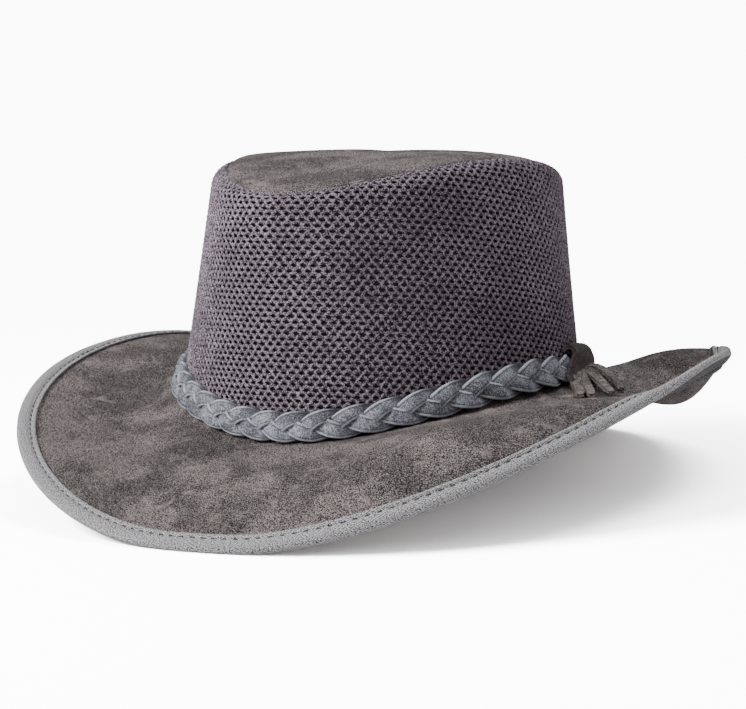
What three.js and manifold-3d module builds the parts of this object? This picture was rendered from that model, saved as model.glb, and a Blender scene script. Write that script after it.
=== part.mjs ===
// A wide-brimmed sun hat: a knitted mesh crown with a leather top, a leather brim
// bound with twill cloth, a plaited leather band and a fringed leather wrap.
// Millimetres, +Z up. The front faces -Y and the wearer's left is +X.
// The hat stands on the front and back of its brim, and both sides curl up.
// Angles go round the hat in degrees: 0 at the front, 90 at the wearer's left.

import * as THREE from "three";
import { mergeVertices } from "three/addons/utils/BufferGeometryUtils.js";
import Module from "manifold-3d";

const wasm = await Module();
wasm.setup();

// Steps round the hat, and the gap kept between pieces that touch
const stepsRound = 72;
const gap = 0.3;

// Head opening, to the outside of the crown wall
const opening = { halfLength: 100.2, halfWidth: 92.4, power: 1.9, centreY: 2.9, egg: 0.01 };
const openingHeight = [
  { turns: 0, rise: 33.6 },
  { turns: 1, rise: 11.3 },
  { turns: 2, rise: -12.9 },
];

// Outer edge of the brim, over its binding
const edge = { halfLength: 178.9, halfWidth: 158.4, power: 2.12, centreY: 0, egg: 0 };
const edgeHeight = [
  { turns: 0, rise: 30.1 },
  { turns: 1, rise: -4 },
  { turns: 2, rise: -28 },
  { turns: 3, rise: 4 },
  { turns: 4, rise: -2 },
];
const edgeRest = [
  { turns: 0, rise: 0.95 },
  { turns: 1, rise: -0.25 },
];
const edgeRestBlend = 0.3;
const edgeCurl = { angle: 90, rise: 3.7, spread: 16.4 };

// The wearer's left side curls up a little more than the right, as edgeCurl says.
// How far the brim swells above a straight line from opening to edge, how much
// of that swell leans towards the opening, and how deep its outer half rolls down
const brimSwell = [
  { angle: -180, swell: 2, lean: 1, roll: 0 },
  { angle: -120, swell: 8, lean: 3.5, roll: 0 },
  { angle: -60, swell: -7.5, lean: -7, roll: 0 },
  { angle: -20, swell: 0.5, lean: -2, roll: 0 },
  { angle: 10, swell: 7, lean: -0.5, roll: 0 },
  { angle: 35, swell: 13, lean: -7.5, roll: -2.5 },
  { angle: 50, swell: 10.75, lean: -13, roll: 1 },
  { angle: 65, swell: 4, lean: -10.75, roll: 0 },
  { angle: 80, swell: -2, lean: -5, roll: 5.25 },
  { angle: 95, swell: 2.5, lean: 9.5, roll: 15 },
  { angle: 115, swell: 9.5, lean: 0, roll: 1 },
  { angle: 145, swell: 0.5, lean: -0.5, roll: 0 },
];

// What brings each column's curve across the brim to its full millimetres
const swellPeak = 4;
const leanPeak = 8;
const rollPeak = 256 / 27;

// Brim leather and its cloth binding
const brimThick = 1.6;
const brimRim = 3;
const brimFootRings = [-brimRim, 0, 3, 6.5];
const brimMiddleRings = [0.2, 0.35, 0.52, 0.7];
const bindingThick = 1;
const bindingWidth = 8.8;
const bindingNose = 1.5;

// Mesh wall of the crown, and the fold at its top
const wallTop = { halfLength: 104.6, halfWidth: 74.1, power: 2, centreY: 5.2, egg: 0.18 };
const wallThick = 2.2;
const wallFootGap = 0.6;
const wallRings = 2;
const foldInset = 6.3;
const foldHeight = 6.5;
const foldSteps = 3;
const seamHeight = [
  { turns: 0, rise: 141.1 },
  { turns: 1, rise: 6.6 },
  { turns: 2, rise: -7.9 },
];
const seamAboveWall = 4;

// Leather top of the crown
const topThick = 1.6;
const topPeak = 152.4;
const topInset = 6.6;
const topLap = 4;
const topPower = { front: 2, side: 3.5 };
const topRings = 5;
const topRingPower = 0.65;

// Plaited band, as its outline across: how far out and up, and which lobe moves it
const plaitLobes = 42;
const plaitStepsPerLobe = 4;
const plaitHeight = 14.5;
const plaitLobeDepth = 1.2;
const plaitFootShift = { inwards: 0.3, upwards: 0.7 };
const plaitOutline = [
  { out: 0.3, up: 1.6, topLobe: 0, footLobe: 0 },
  { out: 2, up: 0.6, topLobe: 0, footLobe: 0.5 },
  { out: 4.6, up: 0.6, topLobe: 0, footLobe: 1 },
  { out: 5.2, up: 3, topLobe: 0, footLobe: 0.5 },
  { out: 4.5, up: 8, topLobe: 0, footLobe: 0 },
  { out: 3.4, up: 12, topLobe: 0.5, footLobe: 0 },
  { out: 0.3, up: 13.6, topLobe: 1, footLobe: 0 },
];

// Leather wrap over the plait, as its inner outline across, and its fringe
const wrapFrom = 86;
const wrapTo = 101;
const wrapSlant = 0.6;
const wrapSteps = 5;
const wrapThick = 2;
const wrapOutline = [
  { out: 0.6, up: 15.8 },
  { out: 3.3, up: 16 },
  { out: 5, up: 14 },
  { out: 5.7, up: 8.9 },
  { out: 6.5, up: 4.3 },
  { out: 8.8, up: 3.2 },
];
const tails = [
  { rootAngle: 86, tipAngle: 79.5, tipOut: 16 },
  { rootAngle: 89, tipAngle: 79.5, tipOut: 23 },
  { rootAngle: 92, tipAngle: 80, tipOut: 29 },
  { rootAngle: 95, tipAngle: 81.5, tipOut: 33 },
];
const tailWidth = 3.6;
const tailThick = 1.2;
const tailRoot = { out: 8, up: 3.9 };
const tailLying = 0.5;
const tailSteps = 6;

// Search for the brim's face under a point: how often, and how far each try looks
const search = { steps: 4, turn: 1, reach: 0.1 };

const radians = THREE.MathUtils.degToRad;

// A height that rises and falls so many times in one turn round the hat
function waveHeight(table, angle) {
  let height = 0;
  for (const { turns, rise } of table) {
    height += rise * Math.cos(turns * radians(angle));
  }
  return height;
}

// A point on an oval in plan, narrower at the front by its egg share
function ovalPoint(oval, angle, inset = 0) {
  const c = Math.cos(radians(angle));
  const s = Math.sin(radians(angle));
  const along = Math.sign(c) * Math.abs(c) ** (2 / oval.power);
  const across = Math.sign(s) * Math.abs(s) ** (2 / oval.power);
  const x = (oval.halfWidth - inset) * across * (1 - oval.egg * c);
  const y = oval.centreY - (oval.halfLength - inset) * along;
  return new THREE.Vector2(x, y);
}

// A value from the rows of a table that runs once round the hat, smoothly joined
function roundTable(table, column, angle) {
  const count = table.length;
  const row = (i) => {
    const turn = Math.floor(i / count);
    const entry = table[i - turn * count];
    return { angle: entry.angle + 360 * turn, value: entry[column] };
  };
  const turned = angle - 360 * Math.floor((angle - table[0].angle) / 360);
  let i = 0;
  while (row(i + 1).angle <= turned) {
    i += 1;
  }
  const [a, b, c, d] = [row(i - 1), row(i), row(i + 1), row(i + 2)];
  const span = c.angle - b.angle;
  const slopeB = (c.value - a.value) / (c.angle - a.angle);
  const slopeC = (d.value - b.value) / (d.angle - b.angle);
  const t = (turned - b.angle) / span;
  const start = (1 + 2 * t) * (1 - t) ** 2 * b.value + t * (1 - t) ** 2 * span * slopeB;
  const end = t * t * (3 - 2 * t) * c.value - t * t * (1 - t) * span * slopeC;
  return start + end;
}

// The brim edge, flattened softly where it rests
function edgeRise(angle) {
  const free = waveHeight(edgeHeight, angle);
  const lift = (waveHeight(edgeRest, angle) - free) / edgeRestBlend;
  const turned = THREE.MathUtils.euclideanModulo(angle - edgeCurl.angle + 180, 360) - 180;
  const curl = edgeCurl.rise * Math.exp(-((turned / edgeCurl.spread) ** 2));
  return free + edgeRestBlend * Math.log1p(Math.exp(lift)) + curl;
}

// A point of the brim's middle surface: reach 0 at the opening, 1 at the edge
function brimMiddle(angle, reach) {
  const inner = ovalPoint(opening, angle);
  const outer = ovalPoint(edge, angle);
  const plan = inner.lerp(outer, reach);
  const root = waveHeight(openingHeight, angle);
  const straight = THREE.MathUtils.lerp(root, edgeRise(angle), reach);
  const inside = Math.max(reach, 0);
  const swell = swellPeak * roundTable(brimSwell, "swell", angle);
  const lean = leanPeak * roundTable(brimSwell, "lean", angle) * (1 / 2 - inside);
  const roll = rollPeak * roundTable(brimSwell, "roll", angle) * inside ** 2;
  const height = straight + reach * (1 - inside) * (swell + lean - roll);
  return new THREE.Vector3(plan.x, plan.y, height);
}

// The brim's upward normal and its outward direction along the surface
function brimFrame(angle, reach) {
  const step = 0.01;
  const out = brimMiddle(angle, reach + step).sub(brimMiddle(angle, reach - step));
  const round = brimMiddle(angle + step, reach).sub(brimMiddle(angle - step, reach));
  const width = out.length() / (2 * step);
  const up = new THREE.Vector3().crossVectors(out, round).normalize();
  return { up, width };
}

// A point so far above the brim's middle surface
function brimPoint(angle, reach, above) {
  const { up } = brimFrame(angle, reach);
  return brimMiddle(angle, reach).addScaledVector(up, above);
}

// The height of the brim's upper face straight over a point of its middle surface
function brimFace(angle, reach) {
  const { up } = brimFrame(angle, reach);
  return brimMiddle(angle, reach).z + brimThick / 2 / up.z;
}

// The height of the brim's upper face under a point in plan, found step by step
function brimFaceUnder(x, y) {
  const across = x / opening.halfWidth;
  const along = (opening.centreY - y) / opening.halfLength;
  let angle = THREE.MathUtils.radToDeg(Math.atan2(across, along));
  let reach = 0;
  for (let i = 0; i < search.steps; i += 1) {
    const here = brimMiddle(angle, reach);
    const turned = brimMiddle(angle + search.turn, reach).sub(here);
    const reached = brimMiddle(angle, reach + search.reach).sub(here);
    const size = turned.x * reached.y - turned.y * reached.x;
    const leftX = x - here.x;
    const leftY = y - here.y;
    angle += (search.turn * (leftX * reached.y - leftY * reached.x)) / size;
    reach += (search.reach * (turned.x * leftY - turned.y * leftX)) / size;
  }
  return brimFace(angle, reach);
}

// The reach that lies so far in from the brim's edge, or out from the opening
function reachFromEdge(angle, distance) {
  return 1 - distance / brimFrame(angle, 1).width;
}

function reachFromOpening(angle, distance) {
  return distance / ovalPoint(opening, angle).distanceTo(ovalPoint(edge, angle));
}

// A closed solid from a list of triangles, turned so that its faces point out
function solidFrom(points, triangles) {
  let volume = 0;
  for (const [a, b, c] of triangles) {
    volume += points[a].dot(new THREE.Vector3().crossVectors(points[b], points[c]));
  }
  const order = volume > 0 ? triangles : triangles.map(([a, b, c]) => [a, c, b]);
  const geometry = new THREE.BufferGeometry();
  const positions = new Float32Array(points.flatMap((p) => [p.x, p.y, p.z]));
  geometry.setAttribute("position", new THREE.BufferAttribute(positions, 3));
  geometry.setIndex(order.flat());
  return geometry;
}

// Four corners as two triangles, split along the shorter diagonal
function twoTriangles(points, [a, b, c, d]) {
  if (points[a].distanceTo(points[c]) <= points[b].distanceTo(points[d])) {
    return [[a, b, c], [a, c, d]];
  }
  return [[a, b, d], [b, c, d]];
}

// A ring made of one closed outline at each angle, joined all the way round
function ringSolid(outlines) {
  const sides = outlines[0].length;
  const points = outlines.flat();
  const triangles = [];
  for (let i = 0; i < outlines.length; i += 1) {
    const next = (i + 1) % outlines.length;
    for (let j = 0; j < sides; j += 1) {
      const k = (j + 1) % sides;
      triangles.push(...twoTriangles(points, [
        i * sides + j,
        i * sides + k,
        next * sides + k,
        next * sides + j,
      ]));
    }
  }
  return solidFrom(points, triangles);
}

// The angles round the hat, from the front and back to it
function anglesRound(count) {
  return Array.from({ length: count }, (_, i) => (360 * i) / count - 180);
}

// The part of a strip's length that each of its steps reaches
function shares(count) {
  return Array.from({ length: count + 1 }, (_, i) => i / count);
}

// Leather brim, up to just inside the fold of its binding
function brimGeometry() {
  const outlines = anglesRound(stepsRound).map((angle) => {
    const foot = brimFootRings.map((out) => reachFromOpening(angle, out));
    const rim = [bindingWidth, bindingWidth / 2, bindingNose + gap];
    const outer = rim.map((distance) => reachFromEdge(angle, distance));
    const reaches = [...foot, ...brimMiddleRings, ...outer];
    const above = reaches.map((reach) => brimPoint(angle, reach, brimThick / 2));
    const below = reaches.map((reach) => brimPoint(angle, reach, -brimThick / 2));
    return [...above, ...below.reverse()];
  });
  return ringSolid(outlines);
}

// Cloth binding folded round the edge, flat where it meets the ground
function bindingGeometry() {
  const slot = brimThick / 2 + gap;
  const face = slot + bindingThick;
  const outlines = anglesRound(stepsRound).map((angle) => {
    const rim = reachFromEdge(angle, bindingWidth);
    const middle = reachFromEdge(angle, bindingWidth / 2);
    const fold = reachFromEdge(angle, bindingNose);
    const outline = [
      [rim, face],
      [middle, face],
      [fold, face],
      [1, face / 2],
      [1, -face / 2],
      [fold, -face],
      [middle, -face],
      [rim, -face],
      [rim, -slot],
      [middle, -slot],
      [fold, -slot],
      [fold, slot],
      [middle, slot],
      [rim, slot],
    ];
    return outline.map(([reach, above]) => {
      const point = brimPoint(angle, reach, above);
      point.z = Math.max(point.z, 0);
      return point;
    });
  });
  return ringSolid(outlines);
}

// The height of the seam where the leather top meets the fold
function seamRise(angle) {
  return waveHeight(seamHeight, angle);
}

// A point of the crown's outer wall at a height, so far in from its face
function wallPoint(angle, height, inset) {
  const foot = brimFace(angle, 0);
  const share = (height - foot) / (seamRise(angle) - seamAboveWall - foot);
  const plan = ovalPoint(opening, angle, inset).lerp(ovalPoint(wallTop, angle, inset), share);
  return new THREE.Vector3(plan.x, plan.y, height);
}

// Mesh wall: its foot on the brim, its top folded in under the leather
function crownSideGeometry() {
  const outlines = anglesRound(stepsRound).map((angle) => {
    const seam = seamRise(angle);
    const shelf = seam - topThick - gap;
    const foldFoot = seam - foldHeight;
    const outerFoot = brimFace(angle, 0) + wallFootGap;
    const innerFoot = brimFace(angle, reachFromOpening(angle, -wallThick)) + wallFootGap;
    const lap = foldInset + topLap;
    const outer = [];
    const inner = [];
    for (const share of shares(wallRings)) {
      outer.push(wallPoint(angle, THREE.MathUtils.lerp(outerFoot, foldFoot, share), 0));
      inner.push(wallPoint(angle, THREE.MathUtils.lerp(innerFoot, foldFoot, share), wallThick));
    }
    for (const share of shares(foldSteps).slice(1)) {
      const rise = Math.sin((share * Math.PI) / 2);
      const inset = 1 - Math.cos((share * Math.PI) / 2);
      outer.push(wallPoint(angle, foldFoot + foldHeight * rise, foldInset * inset));
      const innerHeight = THREE.MathUtils.lerp(foldFoot, shelf - wallThick, rise);
      inner.push(wallPoint(angle, innerHeight, THREE.MathUtils.lerp(wallThick, foldInset, inset)));
    }
    outer.push(wallPoint(angle, shelf, foldInset));
    outer.push(wallPoint(angle, shelf, lap));
    inner.push(wallPoint(angle, shelf - wallThick, lap));
    return [...outer, ...inner.reverse()];
  });
  return ringSolid(outlines);
}

// A point of the leather top's upper face: reach 0 at its peak, 1 at the seam
function topPoint(angle, reach, below) {
  const seam = wallPoint(angle, seamRise(angle), topInset);
  const side = Math.sin(radians(angle)) ** 2;
  const power = THREE.MathUtils.lerp(topPower.front, topPower.side, side);
  const x = seam.x * reach;
  const y = THREE.MathUtils.lerp(wallTop.centreY, seam.y, reach);
  const height = THREE.MathUtils.lerp(topPeak, seam.z, reach ** power);
  return new THREE.Vector3(x, y, height - below);
}

// Leather top: a domed sheet that lies on the fold of the mesh
function crownTopGeometry() {
  const angles = anglesRound(stepsRound);
  const points = [topPoint(0, 0, 0), topPoint(0, 0, topThick)];
  const reaches = shares(topRings).slice(1).map((share) => share ** topRingPower);
  for (const below of [0, topThick]) {
    for (const reach of reaches) {
      points.push(...angles.map((angle) => topPoint(angle, reach, below)));
    }
  }
  const at = (face, ring, i) => 2 + (face * topRings + ring) * stepsRound + (i % stepsRound);
  const triangles = [];
  const quad = (a, b, c, d) => {
    triangles.push([a, b, c]);
    triangles.push([a, c, d]);
  };
  for (let i = 0; i < stepsRound; i += 1) {
    triangles.push([0, at(0, 0, i), at(0, 0, i + 1)]);
    triangles.push([1, at(1, 0, i + 1), at(1, 0, i)]);
    for (let ring = 0; ring < topRings - 1; ring += 1) {
      quad(at(0, ring, i), at(0, ring + 1, i), at(0, ring + 1, i + 1), at(0, ring, i + 1));
      quad(at(1, ring, i), at(1, ring, i + 1), at(1, ring + 1, i + 1), at(1, ring + 1, i));
    }
    const rim = topRings - 1;
    quad(at(0, rim, i), at(1, rim, i), at(1, rim, i + 1), at(0, rim, i + 1));
  }
  return solidFrom(points, triangles);
}

// A point beside the crown's foot: so far out from the wall, so far above its foot.
// Where the brim rises beside the wall, what is low there is lifted over it.
function footPoint(angle, out, up) {
  const foot = brimFace(angle, 0);
  const rise = brimFace(angle, reachFromOpening(angle, out)) - foot;
  const share = Math.max(1 - up / plaitHeight, 0);
  return wallPoint(angle, foot + up + Math.max(rise, 0) * share, -out);
}

// Plaited band: a thick strip with lobed edges, leaning on the crown's foot
function hatBandGeometry() {
  const count = plaitLobes * plaitStepsPerLobe;
  const outlines = anglesRound(count).map((angle, i) => {
    const swing = Math.cos((i / plaitStepsPerLobe) * 2 * Math.PI);
    const top = (plaitLobeDepth * (1 + swing)) / 2;
    const foot = (plaitLobeDepth * (1 - swing)) / 2;
    return plaitOutline.map(({ out, up, topLobe, footLobe }) => {
      const inwards = footLobe * foot * plaitFootShift.inwards;
      const upwards = topLobe * top + footLobe * foot * plaitFootShift.upwards;
      return footPoint(angle, out - inwards, up + upwards);
    });
  });
  return ringSolid(outlines);
}

// A closed sheet between two grids of points, with walls along its four edges
function sheetSolid(front, back) {
  const rows = front.length;
  const columns = front[0].length;
  const points = [...front.flat(), ...back.flat()];
  const at = (face, i, j) => face * rows * columns + i * columns + j;
  const triangles = [];
  const quad = (a, b, c, d) => {
    triangles.push([a, b, c]);
    triangles.push([a, c, d]);
  };
  for (let i = 0; i < rows - 1; i += 1) {
    for (let j = 0; j < columns - 1; j += 1) {
      quad(at(0, i, j), at(0, i + 1, j), at(0, i + 1, j + 1), at(0, i, j + 1));
      quad(at(1, i, j), at(1, i, j + 1), at(1, i + 1, j + 1), at(1, i + 1, j));
    }
    quad(at(0, i, 0), at(1, i, 0), at(1, i + 1, 0), at(0, i + 1, 0));
    const j = columns - 1;
    quad(at(0, i, j), at(0, i + 1, j), at(1, i + 1, j), at(1, i, j));
  }
  for (let j = 0; j < columns - 1; j += 1) {
    quad(at(0, 0, j), at(0, 0, j + 1), at(1, 0, j + 1), at(1, 0, j));
    const i = rows - 1;
    quad(at(0, i, j), at(1, i, j), at(1, i, j + 1), at(0, i, j + 1));
  }
  return solidFrom(points, triangles);
}

// A mesh as a solid that can be joined to another, and back again
function toSolid(geometry) {
  const bare = geometry.clone();
  bare.deleteAttribute("normal");
  bare.deleteAttribute("uv");
  const merged = mergeVertices(bare);
  const vertProperties = new Float32Array(merged.attributes.position.array);
  const triVerts = new Uint32Array(merged.index.array);
  return new wasm.Manifold(new wasm.Mesh({ numProp: 3, vertProperties, triVerts }));
}

function fromSolid(solid) {
  const { vertProperties, triVerts } = solid.getMesh();
  const geometry = new THREE.BufferGeometry();
  geometry.setAttribute("position", new THREE.BufferAttribute(new Float32Array(vertProperties), 3));
  geometry.setIndex(new THREE.BufferAttribute(new Uint32Array(triVerts), 1));
  return geometry;
}

// The wrap's outline moved outwards by its thickness
function wrapOuter(outline, thick) {
  return outline.map(({ out, up }, i) => {
    const before = outline[Math.max(i - 1, 0)];
    const after = outline[Math.min(i + 1, outline.length - 1)];
    const along = new THREE.Vector2(after.out - before.out, after.up - before.up).normalize();
    return { out: out - along.y * thick, up: up + along.x * thick };
  });
}

// Fringed wrap: a slanted leather strip over the plait, its end cut into tails
function bandWrapGeometry() {
  const angles = shares(wrapSteps).map((share) => THREE.MathUtils.lerp(wrapFrom, wrapTo, share));
  const across = (outline) => angles.map((angle) => {
    return outline.map(({ out, up }) => {
      return footPoint(angle + wrapSlant * (up - plaitHeight / 2), out, up);
    });
  });
  const strip = sheetSolid(across(wrapOuter(wrapOutline, wrapThick)), across(wrapOutline));
  let joined = toSolid(strip);
  for (const tail of tails) {
    joined = joined.add(toSolid(tailGeometry(tail)));
  }
  return fromSolid(joined);
}

// One tail of the fringe: it falls from the wrap and lies on the brim
function tailGeometry({ rootAngle, tipAngle, tipOut }) {
  const root = footPoint(rootAngle, tailRoot.out, tailRoot.up);
  const rootUp = root.z - brimFaceUnder(root.x, root.y);
  const middle = shares(tailSteps).map((share) => {
    const angle = THREE.MathUtils.lerp(rootAngle, tipAngle, share);
    const out = THREE.MathUtils.lerp(tailRoot.out, tipOut, share);
    const fall = Math.max(1 - 2 * share, 0) ** 2;
    const up = THREE.MathUtils.lerp(tailLying, rootUp, fall);
    const plan = brimMiddle(angle, reachFromOpening(angle, out));
    return { x: plan.x, y: plan.y, up };
  });
  const across = middle.map((point, i) => {
    const before = middle[Math.max(i - 1, 0)];
    const after = middle[Math.min(i + 1, tailSteps)];
    return new THREE.Vector2(after.y - before.y, before.x - after.x).normalize();
  });
  const grid = (above) => middle.map(({ x, y, up }, i) => [-1, 1].map((side) => {
    const cornerX = x + (side * across[i].x * tailWidth) / 2;
    const cornerY = y + (side * across[i].y * tailWidth) / 2;
    return new THREE.Vector3(cornerX, cornerY, brimFaceUnder(cornerX, cornerY) + up + above);
  }));
  return sheetSolid(grid(tailThick), grid(0));
}

// A named piece of the hat in its own finish
function piece(name, geometry, color, roughness) {
  const material = new THREE.MeshStandardMaterial({ color, roughness, metalness: 0 });
  const flat = geometry.index ? geometry.toNonIndexed() : geometry;
  flat.computeVertexNormals();
  const mesh = new THREE.Mesh(flat, material);
  mesh.name = name;
  return mesh;
}

const hat = new THREE.Group();
hat.add(piece("crown_side", crownSideGeometry(), 0x4a4348, 0.9));
hat.add(piece("crown_top", crownTopGeometry(), 0x756f69, 0.75));
hat.add(piece("brim", brimGeometry(), 0x756f69, 0.75));
hat.add(piece("brim_binding", bindingGeometry(), 0x9a9896, 0.95));
hat.add(piece("hat_band", hatBandGeometry(), 0x808890, 0.6));
hat.add(piece("band_wrap", bandWrapGeometry(), 0x6b625c, 0.7));

export default hat;
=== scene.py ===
# A wide-brimmed sun hat with a knitted mesh crown, a leather top and brim, a bound
# edge, a plaited leather band and a fringed wrap. Shapes are worked out in
# millimetres and become meshes in metres. Angles go round the hat in degrees, 0 at
# the front and 90 at the wearer's left.

import math

import bpy
import numpy as np
from bpy.props import FloatProperty, FloatVectorProperty, IntProperty, PointerProperty
from mathutils import Matrix, Vector


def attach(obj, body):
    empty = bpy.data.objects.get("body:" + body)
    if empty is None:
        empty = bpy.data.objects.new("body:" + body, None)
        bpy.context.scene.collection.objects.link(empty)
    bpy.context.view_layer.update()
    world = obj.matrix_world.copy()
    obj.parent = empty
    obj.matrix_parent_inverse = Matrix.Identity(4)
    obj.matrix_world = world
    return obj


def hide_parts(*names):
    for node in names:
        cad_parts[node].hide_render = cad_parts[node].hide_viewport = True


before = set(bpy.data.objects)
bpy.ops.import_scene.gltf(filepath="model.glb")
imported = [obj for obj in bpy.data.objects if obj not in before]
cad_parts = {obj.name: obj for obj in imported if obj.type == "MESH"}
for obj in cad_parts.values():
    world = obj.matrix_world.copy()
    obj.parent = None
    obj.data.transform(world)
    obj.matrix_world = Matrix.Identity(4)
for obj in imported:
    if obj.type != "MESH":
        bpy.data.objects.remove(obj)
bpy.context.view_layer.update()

bl_info = {
    "name": "Mesh Hat",
    "version": (1, 0, 0),
    "blender": (4, 5, 0),
    "location": "View3D > Sidebar > Mesh Hat",
    "description": "Builds a mesh hat with a leather brim and a plaited band",
    "category": "Add Mesh",
}

MM = 0.001
BODY = "root"

# Steps round the crown and the brim
CROWN_STEPS = 288
BRIM_STEPS = 480

# Head opening, brim edge and top of the crown wall, in plan
OPENING = {"half_length": 100.2, "half_width": 92.4, "power": 1.9, "centre_y": 2.9, "egg": 0.01}
EDGE = {"half_length": 178.9, "half_width": 158.4, "power": 2.12, "centre_y": 0, "egg": 0}
WALL_TOP = {"half_length": 104.6, "half_width": 74.1, "power": 2, "centre_y": 5.2, "egg": 0.18}

# Heights as waves round the hat: level, then one wave a turn, two waves and so on
OPENING_HEIGHT = (33.6, 11.3, -12.9)
EDGE_HEIGHT = (30.1, -4, -28, 4, -2)
EDGE_REST = (0.95, -0.25)
EDGE_REST_BLEND = 0.3
EDGE_CURL = {"angle": 90, "rise": 3.7, "spread": 16.4}
SEAM_HEIGHT = (141.1, 6.6, -7.9)

# How the brim swells over a straight line from opening to edge: angle, swell,
# lean of that swell towards the opening, and how deep the outer half rolls down
SWELL_COLUMNS = {"swell": 1, "lean": 2, "roll": 3}
BRIM_SWELL = np.array([
    (-180, 2, 1, 0),
    (-120, 8, 3.5, 0),
    (-60, -7.5, -7, 0),
    (-20, 0.5, -2, 0),
    (10, 7, -0.5, 0),
    (35, 13, -7.5, -2.5),
    (50, 10.75, -13, 1),
    (65, 4, -10.75, 0),
    (80, -2, -5, 5.25),
    (95, 2.5, 9.5, 15),
    (115, 9.5, 0, 1),
    (145, 0.5, -0.5, 0),
])
SWELL_PEAK = 4
LEAN_PEAK = 8
ROLL_PEAK = 256 / 27

BRIM_THICK = 1.6
BINDING_THICK = 1.0
BINDING_WIDTH = 8.8
BINDING_NOSE = 1.5
GAP = 0.3

WALL_THICK = 2.2
WALL_FOOT_GAP = 0.6
FOLD_INSET = 6.3
FOLD_HEIGHT = 6.5
SEAM_ABOVE_WALL = 4
TOP_THICK = 1.6
TOP_PEAK = 152.4
TOP_INSET = 6.6
TOP_LAP = 4
PLAIT_HEIGHT = 14.5
FOLD_ARC = (FOLD_INSET + FOLD_HEIGHT) * math.pi / 4


def angles_round(count):
    """Evenly spread angles, once round the hat from the back."""
    return np.linspace(-180, 180, count + 1)[:-1]


def wave(heights, degrees):
    """A height that rises and falls so many times in one turn."""
    turns = np.radians(degrees)
    return sum(height * np.cos(count * turns) for count, height in enumerate(heights))


def oval(shape, degrees, inset=0):
    """Points of an oval in plan, narrower at the front by its egg share."""
    c = np.cos(np.radians(degrees))
    s = np.sin(np.radians(degrees))
    along = np.sign(c) * np.abs(c) ** (2 / shape["power"])
    across = np.sign(s) * np.abs(s) ** (2 / shape["power"])
    x = (shape["half_width"] - inset) * across * (1 - shape["egg"] * c)
    y = shape["centre_y"] - (shape["half_length"] - inset) * along
    return x, y


def round_table(column, degrees):
    """One column of the swell table, smoothly joined round the hat."""
    angle = BRIM_SWELL[:, 0]
    value = BRIM_SWELL[:, SWELL_COLUMNS[column]]
    knots = np.concatenate([angle[-2:] - 360, angle, angle[:3] + 360])
    values = np.concatenate([value[-2:], value, value[:3]])
    slopes = np.zeros_like(values)
    slopes[1:-1] = (values[2:] - values[:-2]) / (knots[2:] - knots[:-2])
    turned = angle[0] + np.mod(np.asarray(degrees, float) - angle[0], 360)
    i = np.searchsorted(knots, turned, side="right") - 1
    span = knots[i + 1] - knots[i]
    t = (turned - knots[i]) / span
    start = (1 + 2 * t) * (1 - t) ** 2 * values[i] + t * (1 - t) ** 2 * span * slopes[i]
    end = t * t * (3 - 2 * t) * values[i + 1] - t * t * (1 - t) * span * slopes[i + 1]
    return start + end


def mixed(a, b, share):
    return a + (b - a) * share


def edge_rise(degrees):
    """The brim edge, flattened softly where it rests and curled up more at the left."""
    free = wave(EDGE_HEIGHT, degrees)
    lift = (wave(EDGE_REST, degrees) - free) / EDGE_REST_BLEND
    turned = np.mod(degrees - EDGE_CURL["angle"] + 180, 360) - 180
    curl = EDGE_CURL["rise"] * np.exp(-((turned / EDGE_CURL["spread"]) ** 2))
    return free + EDGE_REST_BLEND * np.logaddexp(0, lift) + curl


def brim_middle(degrees, reach):
    """The brim's middle surface: reach 0 at the opening, 1 at the edge."""
    inner_x, inner_y = oval(OPENING, degrees)
    outer_x, outer_y = oval(EDGE, degrees)
    straight = mixed(wave(OPENING_HEIGHT, degrees), edge_rise(degrees), reach)
    inside = np.maximum(reach, 0)
    swell = SWELL_PEAK * round_table("swell", degrees)
    lean = LEAN_PEAK * round_table("lean", degrees) * (0.5 - inside)
    roll = ROLL_PEAK * round_table("roll", degrees) * inside**2
    height = straight + reach * (1 - inside) * (swell + lean - roll)
    x = mixed(inner_x, outer_x, reach)
    y = mixed(inner_y, outer_y, reach)
    return np.stack(np.broadcast_arrays(x, y, height), -1)


def unit(vectors):
    return vectors / np.maximum(np.linalg.norm(vectors, axis=-1, keepdims=True), 1e-9)


def brim_up(degrees, reach):
    """The brim's upward normal."""
    step = 0.01
    out = brim_middle(degrees, reach + step) - brim_middle(degrees, reach - step)
    turn = brim_middle(degrees + step, reach) - brim_middle(degrees - step, reach)
    return unit(np.cross(out, turn))


def brim_point(degrees, reach, above):
    raised = np.asarray(above)[..., None] * brim_up(degrees, reach)
    return brim_middle(degrees, reach) + raised


def brim_face(degrees, reach):
    """The height of the brim's upper face."""
    up = brim_up(degrees, reach)
    return brim_middle(degrees, reach)[..., 2] + BRIM_THICK / 2 / up[..., 2]


def brim_at_foot(degrees):
    """The height of the brim's upper face at the crown's foot."""
    return brim_face(degrees, np.zeros_like(degrees, float))


def reach_from_edge(degrees, distance):
    step = 0.01
    across = brim_middle(degrees, 1 + step) - brim_middle(degrees, 1 - step)
    return 1 - distance * 2 * step / np.linalg.norm(across, axis=-1)


def reach_from_opening(degrees, distance):
    inner_x, inner_y = oval(OPENING, degrees)
    outer_x, outer_y = oval(EDGE, degrees)
    return distance / np.hypot(outer_x - inner_x, outer_y - inner_y)


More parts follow.
